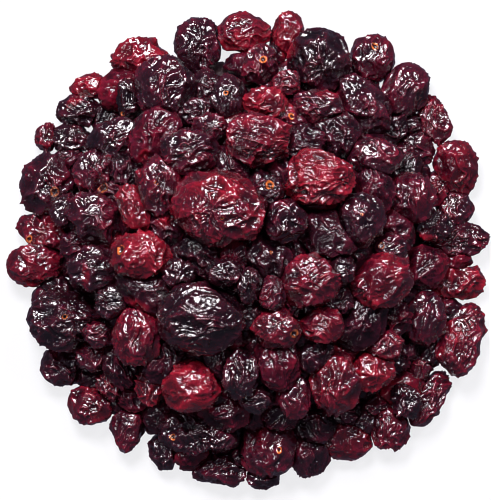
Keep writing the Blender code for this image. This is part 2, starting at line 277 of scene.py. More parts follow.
# Patches of stronger and weaker wrinkles: wave, mean, swing and least strength. Then the most for both.
CRINKLE_PATCHES = (4.0, 0.8, 0.5, 0.2)
CREASE_PATCHES = (3.0, 0.75, 0.6, 0.1)
MOST_PATCH = 1.3
# How far the skin sinks, as a share of the wrinkles' height, so that a berry keeps its size.
SINK_SHARE = 0.45
# Share of the fine wrinkles that is left on the flanks, and where they fade, in half heights.
FLANK_SHARE = 0.6
FLANK_FADE = (-0.1, 0.5)
# What folds, creases and crinkles count for in the ridge value that the material reads.
RIDGE_SHARES = (0.42, 0.42, 0.25)

# Pressing a skin flat against its neighbours: rounds, and the share of the overlap that goes in each.
FLATTEN_ROUNDS = 5
FLATTEN_SHARE = 0.45
# Least depth in a berry, as a share of its half size, that the pressing divides by.
LEAST_DEPTH = 0.3

# Stem scars: x, y and radius in millimetres, and how strongly the ring stands out.
SCARS = [
    (-19.4, -0.6, 0.75, 0.8),
    (25.4, 11.2, 0.45, 0.7),
    (20.0, 31.6, 0.55, 0.9),
    (2.5, 29.3, 0.55, 1.0),
    (6.9, 20.3, 0.45, 0.9),
    (-22.2, 9.4, 0.7, 0.3),
    (-29.8, 9.0, 0.65, 0.25),
    (-34.0, 1.6, 0.5, 0.6),
    (-28.3, -10.6, 0.45, 0.45),
    (3.4, 9.5, 0.6, 0.9),
    (3.6, -0.9, 0.3, 1.0),
    (17.6, 5.0, 0.3, 0.6),
    (20.6, 0.3, 0.5, 0.3),
    (7.2, -13.3, 0.75, 0.3),
    (-11.6, -29.3, 0.5, 0.7),
    (4.9, -31.3, 0.5, 1.0),
    (-3.4, 23.9, 0.35, 0.7),
    (-3.9, 4.4, 0.3, 0.45),
    (-14.0, 9.9, 0.35, 0.45),
    (-19.4, 20.9, 0.4, 0.6),
]
# Width of a scar's raised rim and depth of its pit, in millimetres; the rim's height as a share of that
# depth, and the pit's radius as a share of the scar's.
SCAR_RIM = 0.24
SCAR_DEPTH = 0.4
SCAR_RIM_SHARE = 0.4
SCAR_PIT_SHARE = 0.6
# How uneven its outline is, the wave of that in radii, and how many waves make it.
SCAR_UNEVENNESS = 0.2
SCAR_WAVE = 3.0
SCAR_WAVES = 6
# How far below a berry's middle a scar may lie, in millimetres, and where it stops counting, in radii.
SCAR_DROP = 0.3
SCAR_REACH = 4.0

# Tips and flaps where the skin is redder: x, y, length, width, turn of the length in degrees, and tone.
BLUSHES = [
    (-25.0, -4.7, 4.6, 1.4, 95, "vivid"),
    (-17.0, -8.7, 4.6, 1.4, -25, "vivid"),
    (-12.6, 4.0, 3.4, 2.0, 10, "vivid"),
    (5.3, 6.6, 2.4, 2.0, 0, "red"),
    (28.2, 1.6, 4.6, 1.6, -10, "vivid"),
    (-3.4, 9.0, 8.0, 4.5, -10, "vivid"),
    (6.5, 21.3, 1.6, 3.2, 20, "vivid"),
    (12.4, 23.8, 4.0, 1.8, 0, "vivid"),
    (-0.5, 31.8, 6.0, 3.0, 0, "vivid"),
    (-16.0, 14.4, 2.2, 1.6, 40, "vivid"),
    (6.4, 30.8, 4.0, 3.0, 60, "vivid"),
    (-27.0, 23.0, 5.0, 1.8, 40, "vivid"),
]

# The core under the berries, near black as painted shade in the gaps.
CORE_RADIUS = 28.0
CORE_HEIGHT = 12.5
CORE_STEPS = 96
CORE_RINGS = 24
CORE_WAVE = 7.0
CORE_UNEVENNESS = 0.05

# Shares of the tones among the berries between and below, leaning to the dark ones as painted shade in the
# gaps, and how far a berry strays from its tone.
BETWEEN_SHADE_TONES = {"black": 0.7, "plum": 0.15, "maroon": 0.15}
LOWER_SHADE_TONES = {"black": 0.5, "plum": 0.2, "maroon": 0.2, "red": 0.1}
TONE_SPREAD = 0.07
# Large berries up to this tone are one piece, and the redder ones another.
LARGE_DARK = TONES["red"] - 0.1

# Skin: colour by tone, what it is multiplied by from the hollows to the crests, painted shade in the hollows
# and painted light on the crests, and in the freckles, the painted red glow of light through thin crests,
# and the dark pit and pale ring of a stem scar.
SKIN_STOPS = [
    (0.0, (0.0088, 0.0026, 0.0052)),
    (0.2, (0.0168, 0.0029, 0.0073)),
    (0.42, (0.036, 0.0028, 0.0084)),
    (0.66, (0.062, 0.0028, 0.0086)),
    (0.9, (0.120, 0.0038, 0.0100)),
]
# Painted shade in the hollows and painted light on the crests.
RIDGE_SHADE_AND_LIGHT_STOPS = [(0.04, (0.20, 0.20, 0.24)), (0.4, (0.75, 0.75, 0.75)), (0.75, (1.7, 1.5, 1.5))]
FRECKLE_STOPS = [(0.35, (0.70, 0.70, 0.75)), (0.65, (1.2, 1.15, 1.15))]
# Painted red glow of light through thin crests.
CREST_GLOW_RED = (0.20, 0.003, 0.008, 1.0)
SCAR_DARK = (0.02, 0.004, 0.004, 1.0)
SCAR_PALE = (0.62, 0.15, 0.03, 1.0)
# Edge of the dark pit, middle of the pale ring and how steeply the ring fades, in radii of the scar.
PIT_EDGE = 0.75
RING_MIDDLE = 0.85
RING_FADE = 3.2
# Strength of the patches of another tone, of the painted red glow of the crests, of the freckles, pits and
# rings.
PATCH_STRENGTH = 1.4
CREST_GLOW_STRENGTH = 0.5
CREST_GLOW_POWER = 2.5
CREST_GLOW_SCREEN = 0.35
FRECKLE_STRENGTH = 0.8
PIT_STRENGTH = 0.8
RING_STRENGTH = 1.4
# Noise textures, per millimetre: scale, detail and roughness.
PATCH_NOISE = (0.35, 4.0, 0.6)
FRECKLE_NOISE = (3.5, 3.0, 0.7)
BREAK_NOISE = (1.6, 2.0, 0.5)
SMEAR_NOISE = (0.9, 3.0, 0.6)
BEND_NOISE = (0.5, 1.0, 0.5)
# Where a scar's ring is broken: the noise value at its half strength, and how sharply it breaks.
BREAK_LEVEL = 0.44
BREAK_SHARPNESS = 7.0

# Specular level and coat weight of the skin where it shows and of the skin between and below, a less glossy
# copy as painted shade in the gaps.
SHOWN_GLOSS = (0.5, 1.0)
PAINTED_SHADE_GLOSS = (0.4, 0.3)
# What both skins share: roughness from its least to its most, the clear coat, and light under the skin.
SKIN_ROUGHNESS = (0.07, 0.15)
SKIN_VALUES = {
    "IOR": 1.45,
    "Coat Roughness": 0.025,
    "Coat IOR": 1.45,
    "Subsurface Weight": 0.08,
    "Subsurface Radius": (1.0, 0.12, 0.10),
    "Subsurface Scale": 0.0008,
}
# Faint bump under the wrinkles: scale and weight of each layer of cells, their bend in millimetres, how
# sharp the lines between them are, and the strength and the depth in metres.
BUMP_LAYERS = ((0.75, 1.0), (1.5, 0.5))
BUMP_BEND = 2.2
BUMP_SHARPNESS = 3.0
BUMP_STRENGTH = 0.9
BUMP_DEPTH = 0.00007
# Distance between the berries' places in the textures, in millimetres, so that no two look alike.
TEXTURE_STEP = 7.3

# Inside of the heap: noise per metre with its detail and roughness, colours near black as painted shade,
# roughness and bump.
INSIDE_NOISE = (400.0, 4.0, 0.5)
INSIDE_SHADE_STOPS = [(0.3, (0.006, 0.0012, 0.0022)), (0.7, (0.022, 0.0035, 0.006))]
INSIDE_ROUGHNESS = 0.5
INSIDE_BUMP_STRENGTH = 0.8
INSIDE_BUMP_DEPTH = 0.0008

# The floor: its size and its drop below the heap in metres, and what makes it an even white.
FLOOR_SIZE = 3.0
FLOOR_DROP = 0.0001
FLOOR_VALUES = {
    "Base Color": (0.13, 0.13, 0.13, 1.0),
    "Emission Color": (0.98, 0.98, 1.0, 1.0),
    "Emission Strength": 0.81,
    "Roughness": 0.9,
    "Specular IOR Level": 0.1,
}

# Lamps that look at the heap: name, place and size in metres, and power. Then their colour, the world's
# colour and strength, and the width of the pixel filter.
LAMPS = [
    ("key", (-0.15, 0.50, 0.68), 0.31, 13.2),
    ("second", (0.34, 0.40, 0.62), 0.16, 3.0),
    ("front", (-0.36, -0.16, 0.76), 0.18, 1.2),
]
LAMP_COLOUR = (0.97, 0.95, 1.0)
WORLD_COLOUR = (0.78, 0.66, 1.0, 1.0)
WORLD_STRENGTH = 0.125
PIXEL_FILTER = 1.1

# The photograph's view: the camera's height angle in degrees, the point it looks at, its distance from
# there and the height of view that it takes in, in metres, and its sensor in millimetres.
VIEW_ELEVATION = 89.0
VIEW_TARGET = (-0.0003, -0.0003, 0.010)
VIEW_DISTANCE = 1.0
VIEW_HEIGHT = 0.0775
SENSOR = 36.0


def dome_height(dome, radius):
    """Height of a dome over a distance from the middle, in millimetres."""
    return dome[1] * np.sqrt(np.clip(1.0 - (radius / dome[0]) ** 2, 0.0, 1.0))


def scattered(draw, reach, count):
    """Places thrown at random over a disc."""
    radius = reach * np.sqrt(draw.uniform(0.0, 1.0, count))
    angle = draw.uniform(0.0, 2.0 * math.pi, count)
    return np.stack([radius * np.cos(angle), radius * np.sin(angle)], axis=1)


def clear_of_gaps(places):
    """The places that keep off the openings of the rim."""
    distance = np.linalg.norm(places[:, None, :] - GAPS[None, :, :], axis=2)
    return places[distance.min(axis=1) > GAP_CLEARANCE]


def gap_round(places, row):
    """Distance from each place to the outline that a berry covers, seen from above."""
    x, y, _, length, width, turn = row
    across = np.array([math.cos(math.radians(turn)), math.sin(math.radians(turn))])
    offset = places - (x, y)
    along = offset @ across
    beside = offset @ (-across[1], across[0])
    share = np.hypot(along / (0.5 * length), beside / (0.5 * width))
    return np.hypot(along, beside) * (1.0 - 1.0 / np.maximum(share, TINY))


def listed_rows():
    """The listed berries: x, y, starting height, length, width and turn."""
    rows = []
    for x, y, length, width, turn, _ in SHOWN_BERRIES:
        start = dome_height(SHOWN_DOME, math.hypot(x, y)) + START_SHARE * width
        rows.append((x, y, start, length, width, turn))
    return rows


def between_rows(draw, rows):
    """A berry in the widest gap left, again and again, until the gaps are narrow."""
    places = clear_of_gaps(scattered(draw, BETWEEN_REACH, BETWEEN_TRIES))
    room = np.min([gap_round(places, row) for row in rows], axis=0)
    found = []
    while room.max() > LEAST_GAP:
        x, y = places[room.argmax()]
        width = min(max(2.0 * (room.max() + UNDER_REACH), BETWEEN_WIDTHS[0]), BETWEEN_WIDTHS[1])
        length = width * draw.uniform(*BETWEEN_LENGTH_SHARES)
        height = max(dome_height(SHOWN_DOME, math.hypot(x, y)) - BETWEEN_DROP, 0.0)
        found.append((x, y, height, length, width, draw.uniform(0.0, 180.0)))
        room = np.minimum(room, gap_round(places, found[-1]))
    return found


def lower_rows(draw):
    """The berries below, thrown at random and kept when they are apart."""
    rows = []
    places = np.empty((0, 2))
    for place in clear_of_gaps(scattered(draw, LOWER_REACH, LOWER_TRIES * LOWER_BERRIES)):
        crowd = np.sum(np.linalg.norm(places - place, axis=1) < LOWER_SPACING)
        if crowd == 0 and len(rows) < LOWER_BERRIES:
            places = np.vstack([places, place])
            length = draw.uniform(*LOWER_LENGTHS)
            width = length * draw.uniform(*LOWER_WIDTH_SHARES)
            height = dome_height(LOWER_DOME, np.linalg.norm(place))
            rows.append((*place, height, length, width, draw.uniform(0.0, 180.0)))
    return rows


def laid_out():
    """Middles, half sizes and axes of all berries before they settle, and the count of each kind."""
    draw = np.random.default_rng(HEAP_SEED)
    listed = listed_rows()
    between = between_rows(draw, listed)
    lower = lower_rows(draw)
    halves = []
    axes = []
    for _, _, _, length, width, turn in listed + between + lower:
        thickness = max(THICKNESS_SHARE * width, LEAST_THICKNESS)
        halves.append((length / 2.0, width / 2.0, thickness / 2.0))
        tip = np.radians(draw.uniform(-MOST_TIP, MOST_TIP, 2))
        axes.append(np.array(Euler((tip[0], tip[1], math.radians(turn))).to_matrix()))
    middles = np.array([row[:3] for row in listed + between + lower])
    return middles, np.array(halves), np.array(axes), (len(listed), len(between), len(lower))


def settled():
    """The berries after settling, and how many show. Those keep near their places, the others move."""
    middles, halves, axes, (listed, between, _) = laid_out()
    shown = listed + between
    homes = middles[:shown, :2].copy()
    half_heights = np.sqrt(np.sum((axes[:, 2, :] * halves) ** 2, axis=1))
    for _ in range(ROUNDS):
        middles[:, 2] -= SINK
        apart = middles[:, None, :] - middles[None, :, :]
        distance = np.linalg.norm(apart, axis=2) + np.eye(len(middles)) * FAR
        towards = apart / distance[:, :, None]
        own = np.einsum("ijk,ikl->ijl", towards, axes) / halves[:, None, :]
        reach = 1.0 / np.maximum(np.linalg.norm(own, axis=2), TINY)
        overlap = np.maximum(PRESS * (reach + reach.T) - distance, 0.0)
        contacts = np.maximum(np.sum(overlap > 0.0, axis=1), 1)
        push = np.sum(towards * overlap[:, :, None], axis=1)
        middles += push / np.sqrt(contacts)[:, None] * GIVE_WAY
        drift = middles[:shown, :2] - homes
        middles[:shown, :2] = homes + np.clip(drift, -MOST_DRIFT, MOST_DRIFT)
        radius = np.linalg.norm(middles[:, :2], axis=1)
        outward = (np.maximum(radius - LOWER_REACH, 0.0) / radius)[:, None] * middles[:, :2]
        middles[shown:, :2] -= outward[shown:]
        lowest = dome_height(LOWER_DOME, radius) + LOWER_LIFT * half_heights
        lowest[:listed] = dome_height(SHOWN_DOME, radius[:listed])
        lowest[listed:shown] = dome_height(SHOWN_DOME, radius[listed:shown]) - BETWEEN_DROP
        middles[:, 2] = np.maximum(middles[:, 2], np.maximum(lowest, FLOOR_PRESS * half_heights))
    return middles, halves, axes, shown


def finished(heap):
    """The heap with the berries that show grown and moved for the last time, and the fillers added."""
    middles, halves, axes, shown = heap
    halves[:shown, :2] *= LAID_GROWTH
    for number, move in MOVES.items():
        middles[number, :2] += move
    more = np.array(FILLERS)
    thickness = np.maximum(THICKNESS_SHARE * more[:, 4], LEAST_THICKNESS)
    more_halves = 0.5 * np.stack([more[:, 3], more[:, 4], thickness], axis=1)
    more_axes = [np.array(Euler((0.0, 0.0, math.radians(turn))).to_matrix()) for turn in more[:, 5]]
    middles = np.concatenate([middles, more[:, :3]])
    return middles, np.concatenate([halves, more_halves]), np.concatenate([axes, more_axes]), shown


def skin_points(unit, number, half):
    """Points of a berry's skin in its own axes, for unit directions: an ellipsoid with a taper and dents."""
    draw = np.random.default_rng(FORM_SEED + number)
    reach = np.ones(len(unit))
    for _ in range(DENTS):
        middle = draw.normal(size=3)
        middle /= np.linalg.norm(middle)
        depth = draw.uniform(*DENT_DEPTHS)
        width = draw.uniform(*DENT_WIDTHS)
        reach -= depth * np.exp(-np.sum((unit - middle) ** 2, axis=1) / width**2)
    points = unit * reach[:, None] * half
    taper = draw.uniform(-MOST_TAPER, MOST_TAPER)
    points[:, 1:] *= (1.0 + taper * unit[:, 0])[:, None]
    return points


def waves(points, draw, wavelength, count=WAVE_COUNT):
    """Smooth noise of about -1 to 1: plane waves in random directions, added up."""
    heading = draw.normal(size=(count, 3))
    heading /= np.linalg.norm(heading, axis=1)[:, None]
    pace = 2.0 * math.pi / (wavelength * draw.uniform(*WAVE_SPREAD, count))
    phase = draw.uniform(0.0, 2.0 * math.pi, count)
    return np.sin(points @ (heading * pace[:, None]).T + phase).sum(axis=1) / math.sqrt(count)


def warped(points, draw, wavelength, amount):
    """The points moved about by smooth noise."""
    return points + amount * np.stack([waves(points, draw, wavelength) for _ in range(3)], axis=1)


def wave_ridges(points, draw, wavelength, stretch, sharp):
    """Ridges from 0 to 1 along winding lines, where smooth noise is near zero, with hollows between them."""
    line = np.abs(waves(points / (stretch, 1.0, 1.0), draw, wavelength))
    return np.clip(1.0 - HOLLOWNESS * line, 0.0, 1.0) ** sharp


def cell_ridges(points, draw, spacing, stretch, soft):
    """Ridges from 0 to 1 along the borders of random cells, hollow inside each cell. soft rounds the crest.

    A cell whose seed is too near another's gets a second pick.
    """
    flat = points / (stretch, 1.0, 1.0)
    area = math.pi * np.ptp(flat, axis=0).prod() ** (2.0 / 3.0)
    count = max(int(area / spacing**2), LEAST_CELLS)
    picks = draw.choice(len(flat), size=(count, 2), replace=False)
    seeds = flat[picks[:, 0]]
    crowding = np.linalg.norm(seeds[:, None] - seeds[None], axis=2) + np.eye(count) * FAR
    close = crowding.min(axis=1) < 0.5 * spacing
    seeds[close] = flat[picks[close, 1]]
    distance = np.linalg.norm(flat[:, None, :] - seeds[None, :, :], axis=2)
    nearest = np.partition(distance, 1, axis=1)[:, :2]
    border = np.clip((nearest[:, 1] - nearest[:, 0]) / spacing, 0.0, 1.0)
    return np.clip(1.0 - np.sqrt(border**2 + soft**2) + soft, 0.0, 1.0) ** FOLD_CREST


def lengthwise(points, half):
    """The points drawn out on to a rod along the berry's length, so that lines on them meet at its ends."""
    radius = np.hypot(points[:, 1], points[:, 2])
    spread = half[1] / np.maximum(radius, LEAST_ROD * half[1])
    return points * np.stack([np.ones(len(points)), spread, spread], axis=1)


def patches(points, draw, size, wave, mean, swing, least):
    """Strength of the wrinkles over a skin, in smooth patches."""
    return np.clip(mean + swing * waves(points, draw, wave * size), least, MOST_PATCH)


def flank_fade(points, half):
    """Share of the fine wrinkles that is left: all of them on top, and less from there down the flanks."""
    start, end = FLANK_FADE
    upper = np.clip((points[:, 2] / half[2] - start) / (end - start), 0.0, 1.0)
    return FLANK_SHARE + (1.0 - FLANK_SHARE) * upper**2 * (3.0 - 2.0 * upper)


def relief(points, number, half):
    """Height of the wrinkles over the skin, in millimetres, and how far each point is up a ridge, 0 to 1."""
    draw = np.random.default_rng(WRINKLE_SEED + number)
    size = half.prod() ** (1.0 / 3.0) / USUAL_HALF
    stretch = draw.uniform(*STRETCHES)
    wild = draw.uniform(*WILDNESS)
    bent = warped(points, draw, FOLD_BEND[0] * size, FOLD_BEND[1] * size)
    folds = cell_ridges(bent, draw, FOLD_SPACING * size**FOLD_GROWTH, stretch, FOLD_SOFTNESS)
    if draw.random() < LENGTHWISE_SHARE:
        along = lengthwise(warped(points, draw, *CREASE_BEND), half)
    else:
        bent = warped(points, draw, *CREASE_BEND)
        along = bent @ np.array(Euler(draw.uniform(-MOST_CREASE_TURN, MOST_CREASE_TURN, 3)).to_matrix())
    crease_wave = CREASE_WAVE * size**CREASE_GROWTH
    creases = wave_ridges(along, draw, crease_wave, CREASE_STRETCH * stretch, CREASE_SHARPNESS)
    bent = warped(points, draw, *CRINKLE_BEND)
    crinkles = wave_ridges(bent, draw, CRINKLE_WAVE, stretch, CRINKLE_SHARPNESS)
    fade = flank_fade(points, half)
    crinkles *= patches(points, draw, size, *CRINKLE_PATCHES) * fade
    creases *= patches(points, draw, size, *CREASE_PATCHES) * fade
    height = FOLD_HEIGHT * size * folds + CREASE_HEIGHT * creases + CRINKLE_HEIGHT * crinkles
    sink = SINK_SHARE * (FOLD_HEIGHT * size + CREASE_HEIGHT + CRINKLE_HEIGHT)
    up = RIDGE_SHARES[0] * folds + RIDGE_SHARES[1] * creases + RIDGE_SHARES[2] * crinkles
    return wild * (height - sink), np.clip(up, 0.0, 1.0)


def unit_sphere(cuts):
    """Directions and triangles of an icosphere whose points crowd on to the upper side."""
    form = bmesh.new()
    bmesh.ops.create_icosphere(form, subdivisions=cuts, radius=1.0)
    unit = np.array([vert.co for vert in form.verts])
    faces = np.array([[vert.index for vert in face.verts] for face in form.faces])
    form.free()
    z = unit[:, 2] / np.linalg.norm(unit, axis=1)
    raised = z + CROWD_UP * (1.0 - z**2)
    level = np.sqrt(np.maximum(1.0 - raised**2, 0.0))
    level /= np.maximum(np.hypot(unit[:, 0], unit[:, 1]), TINY)
    return np.stack([unit[:, 0] * level, unit[:, 1] * level, raised], axis=1), faces


def pressed(points, number, heap):
    """The points with a berry's skin pressed flat where it meets its neighbours and the surface."""
    middles, halves, axes, _ = heap
    middle = middles[number]
    near = np.linalg.norm(middles - middle, axis=1) < halves.max(axis=1) + halves[number].max()
    near[number] = False

    def depth(other, where):
        """How far out of a berry each point is, 1 on its plain skin."""
        return np.linalg.norm((where - middles[other]) @ axes[other] / halves[other], axis=1)

    for _ in range(FLATTEN_ROUNDS):
        own = depth(number, points)
        for other in np.nonzero(near)[0]:
            over = np.maximum(own - depth(other, points), 0.0)
            shrink = 1.0 - FLATTEN_SHARE * over / np.maximum(own, LEAST_DEPTH)
            points = middle + (points - middle) * shrink[:, None]
            own = own - FLATTEN_SHARE * over
    points[:, 2] = np.maximum(points[:, 2], 0.0)
    return points


def scar_on(points, number, heap, scars):
    """Pit depth in millimetres, distance from the scar in its own radii, and the strength of its ring."""
    pit = np.zeros(len(points))
    nearest = np.full(len(points), SCAR_REACH)
    strong = np.zeros(len(points))
    draw = np.random.default_rng(WRINKLE_SEED - 1 - number)
    for x, y, radius, strength in scars.get(number, []):
        plan = np.hypot(points[:, 0] - x, points[:, 1] - y)
        upper = points[:, 2] > heap[0][number][2] - SCAR_DROP
        offset = points - points[np.where(upper, plan, FAR).argmin()]
        uneven = 1.0 + SCAR_UNEVENNESS * waves(offset, draw, SCAR_WAVE * radius, SCAR_WAVES)
        distance = np.linalg.norm(offset, axis=1) * uneven
        pit += SCAR_DEPTH * np.exp(-((distance / (SCAR_PIT_SHARE * radius)) ** 2))
        pit -= SCAR_RIM_SHARE * SCAR_DEPTH * np.exp(-(((distance - radius) / SCAR_RIM) ** 2))
        closer = distance / radius < nearest
        nearest = np.where(closer, distance / radius, nearest)
        strong = np.where(closer, strength, strong)
    return pit, nearest, strong


def blushed(points, tone):
    """The tone at each point of a berry, redder at the listed tips."""
    tones = np.full(len(points), tone)
    for x, y, length, width, turn, name in BLUSHES:
        offset = points[:, :2] - (x, y)
        across = np.array([math.cos(math.radians(turn)), math.sin(math.radians(turn))])
        along = (offset @ across) / (0.5 * length)
        beside = (offset @ (-across[1], across[0])) / (0.5 * width)
        tones += np.maximum(TONES[name] - tones, 0.0) * np.exp(-((along**2 + beside**2) ** 2))
    return tones


def scars_by_berry(heap):
    """The listed scars, under the number of the shown berry whose middle each one lies nearest."""
    middles, halves, axes, shown = heap
    found = {}
    for x, y, radius, strength in SCARS:
        offset = np.stack([x - middles[:shown, 0], y - middles[:shown, 1]], axis=1)
        along = np.einsum("nj,njk->nk", offset, axes[:shown, :2, :2])
        share = np.linalg.norm(along / halves[:shown, :2], axis=1)
        number = int(share.argmin())
        found.setdefault(number, []).append((x, y, radius, strength))
    return found


def berry(number, heap, scars, unit):
    """One berry in place: its points, and for each what the material reads there."""
    middles, halves, axes, _ = heap
    skin = skin_points(unit, number, halves[number])
    height, up = relief(skin, number, halves[number])
    outward = unit / halves[number]
    outward /= np.linalg.norm(outward, axis=1)[:, None]
    points = (skin + outward * height[:, None]) @ axes[number].T + middles[number]
    pit, scar, ring = scar_on(points, number, heap, scars)
    points -= (outward * pit[:, None]) @ axes[number].T
    points = pressed(points, number, heap)
    return {"points": points, "ridge": up, "scar": scar, "ring": ring, "place": skin + number * TEXTURE_STEP}


def joined(name, berries):
    """One object from many berries, in metres, with what the material reads kept on its points."""
    points = np.concatenate([part["points"] for part in berries]) * MM
    starts = np.cumsum([0] + [len(part["points"]) for part in berries[:-1]])
    faces = np.concatenate([part["faces"] + start for part, start in zip(berries, starts)])
    mesh = bpy.data.meshes.new(name)
    mesh.vertices.add(len(points))
    mesh.vertices.foreach_set("co", points.astype(np.float32).ravel())
    mesh.loops.add(faces.size)
    mesh.loops.foreach_set("vertex_index", faces.astype(np.int32).ravel())
    mesh.polygons.add(len(faces))
    mesh.polygons.foreach_set("loop_start", np.arange(0, faces.size, 3, dtype=np.int32))
    mesh.polygons.foreach_set("loop_total", np.full(len(faces), 3, dtype=np.int32))
    mesh.update(calc_edges=True)
    mesh.validate()
    mesh.shade_smooth()
    for key in ("tone", "ridge", "scar", "ring"):
        values = np.concatenate([part[key] for part in berries]).astype(np.float32)
        mesh.attributes.new(key, "FLOAT", "POINT").data.foreach_set("value", values)
    place = np.concatenate([part["place"] for part in berries]).astype(np.float32)
    mesh.attributes.new("place", "FLOAT_VECTOR", "POINT").data.foreach_set("vector", place.ravel())
    piece = bpy.data.objects.new(name, mesh)
    bpy.context.scene.collection.objects.link(piece)
    return piece


class Nodes:
    """Short calls for a material's nodes. A socket is given by its name, or by its number after an i."""

    def __init__(self, name):
        self.material = bpy.data.materials.new(name)
        self.material.use_nodes = True
        self.tree = self.material.node_tree
        self.shader = self.tree.nodes["Principled BSDF"]

    def add(self, kind, settings=(), **inputs):
        node = self.tree.nodes.new(kind)
        for key, value in dict(settings).items():
            setattr(node, key, value)
        for key, value in inputs.items():
            self.put(node, key.replace("_", " "), value)
        return node

    def put(self, node, socket, value):
        numbered = socket[0] == "i" and socket[1:].isdigit()
        target = node.inputs[int(socket[1:]) if numbered else socket]
        if isinstance(value, bpy.types.NodeSocket):
            self.tree.links.new(value, target)
        else:
            target.default_value = value

    def put_all(self, values):
        for socket, value in values.items():
            self.put(self.shader, socket, value)

    def attribute(self, name, output="Fac"):
        return self.add("ShaderNodeAttribute", {"attribute_name": name}).outputs[output]

    def noise(self, place, scale, detail, roughness, output="Fac"):
        node = self.add("ShaderNodeTexNoise", Vector=place, Scale=scale, Detail=detail, Roughness=roughness)
        return node.outputs[output]

    def math(self, operation, a, b=0.0, c=0.0, clamp=False):
        settings = {"operation": operation, "use_clamp": clamp}
        return self.add("ShaderNodeMath", settings, i0=a, i1=b, i2=c).outputs[0]

    def mix(self, share, a, b, blend="MIX"):
        settings = {"data_type": "RGBA", "blend_type": blend}
        return self.add("ShaderNodeMix", settings, i0=share, i6=a, i7=b).outputs[2]

    def ramp(self, share, stops):
        node = self.add("ShaderNodeValToRGB", Fac=share)
        elements = node.color_ramp.elements
        for element in list(elements)[1:]:
            elements.remove(element)
        elements[0].position = stops[0][0]
        elements[0].color = (*stops[0][1], 1.0)
        for position, colour in stops[1:]:
            elements.new(position).color = (*colour, 1.0)
        return node.outputs[0]

    def bump(self, strength, depth, height):
        node = self.add("ShaderNodeBump", Strength=strength, Distance=depth, Height=height)
        self.put(self.shader, "Normal", node.outputs[0])


def skin_colour(nodes, place):
    """Colour by tone in patches, redder on thin crests as a painted glow of light through them, with painted
    shade in the hollows and painted light on the crests, and freckled.
    """
    ridge = nodes.attribute("ridge")
    stray = nodes.math("SUBTRACT", nodes.noise(place, *PATCH_NOISE), 0.5)
    base = nodes.ramp(nodes.math("MULTIPLY_ADD", stray, PATCH_STRENGTH, nodes.attribute("tone")), SKIN_STOPS)
    # Painted shade in the hollows and painted light on the crests.
    base = nodes.mix(1.0, base, nodes.ramp(ridge, RIDGE_SHADE_AND_LIGHT_STOPS), "MULTIPLY")
    # Painted red glow of light through thin crests, strongest on the highest.
    lit = nodes.mix(CREST_GLOW_SCREEN, base, CREST_GLOW_RED, "SCREEN")
    crest = nodes.math("MULTIPLY", nodes.math("POWER", ridge, CREST_GLOW_POWER), CREST_GLOW_STRENGTH)
    freckles = nodes.ramp(nodes.noise(place, *FRECKLE_NOISE), FRECKLE_STOPS)
    return nodes.mix(FRECKLE_STRENGTH, nodes.mix(crest, base, lit), freckles, "MULTIPLY")


def scarred(nodes, place, colour):
    """The colour with stem scars on it: a dark pit in a pale, broken ring."""
    scar = nodes.attribute("scar")
    inside = nodes.math("MULTIPLY", nodes.math("LESS_THAN", scar, PIT_EDGE), PIT_STRENGTH)
    colour = nodes.mix(inside, colour, SCAR_DARK)
    off = nodes.math("ABSOLUTE", nodes.math("SUBTRACT", scar, RING_MIDDLE))
    band = nodes.math("SUBTRACT", 1.0, nodes.math("MULTIPLY", off, RING_FADE), clamp=True)
    breaks = nodes.math("SUBTRACT", nodes.noise(place, *BREAK_NOISE), BREAK_LEVEL)
    whole = nodes.math("MULTIPLY_ADD", breaks, BREAK_SHARPNESS, 0.5, clamp=True)
    band = nodes.math("MULTIPLY", band, nodes.math("MULTIPLY", whole, nodes.attribute("ring")))
    return nodes.mix(nodes.math("MULTIPLY", band, RING_STRENGTH, clamp=True), colour, SCAR_PALE)


def skin_height(nodes, place):
    """Height of fine lines between bent cells, for the bump."""
    shift = nodes.noise(place, *BEND_NOISE, output="Color")
    bent = nodes.add("ShaderNodeVectorMath", {"operation": "MULTIPLY_ADD"}, i0=shift, i2=place)
    nodes.put(bent, "i1", (BUMP_BEND, BUMP_BEND, BUMP_BEND))
    height = 0.0
    for scale, weight in BUMP_LAYERS:
        settings = {"feature": "DISTANCE_TO_EDGE"}
        cells = nodes.add("ShaderNodeTexVoronoi", settings, Vector=bent.outputs[0], Scale=scale)
        line = nodes.math("SUBTRACT", 1.0, cells.outputs["Distance"], clamp=True)
        line = nodes.math("POWER", line, BUMP_SHARPNESS)
        height = nodes.math("MULTIPLY_ADD", line, weight, height)
    return height


def skin_material(name, specular, coat):
    """Dried cranberry skin, with a sticky gloss."""
    nodes = Nodes(name)
    place = nodes.attribute("place", "Vector")
    nodes.put(nodes.shader, "Base Color", scarred(nodes, place, skin_colour(nodes, place)))
    rough = nodes.add("ShaderNodeMapRange", Value=nodes.noise(place, *SMEAR_NOISE))
    nodes.put(rough, "To Min", SKIN_ROUGHNESS[0])
    nodes.put(rough, "To Max", SKIN_ROUGHNESS[1])
    nodes.put(nodes.shader, "Roughness", rough.outputs[0])
    nodes.put_all(SKIN_VALUES)
    nodes.put_all({"Specular IOR Level": specular, "Coat Weight": coat})
    nodes.bump(BUMP_STRENGTH, BUMP_DEPTH, skin_height(nodes, place))
    return nodes.material


def core_material():
    """The inside of the heap, near black: painted shade where it shows between the berries."""
    nodes = Nodes("heap_inside_painted_shade")
    place = nodes.add("ShaderNodeTexCoord").outputs["Object"]
    noise = nodes.noise(place, *INSIDE_NOISE)
    # Near black: painted shade where the inside shows between the berries.
    nodes.put(nodes.shader, "Base Color", nodes.ramp(noise, INSIDE_SHADE_STOPS))
    nodes.put(nodes.shader, "Roughness", INSIDE_ROUGHNESS)
    nodes.bump(INSIDE_BUMP_STRENGTH, INSIDE_BUMP_DEPTH, noise)
    return nodes.material


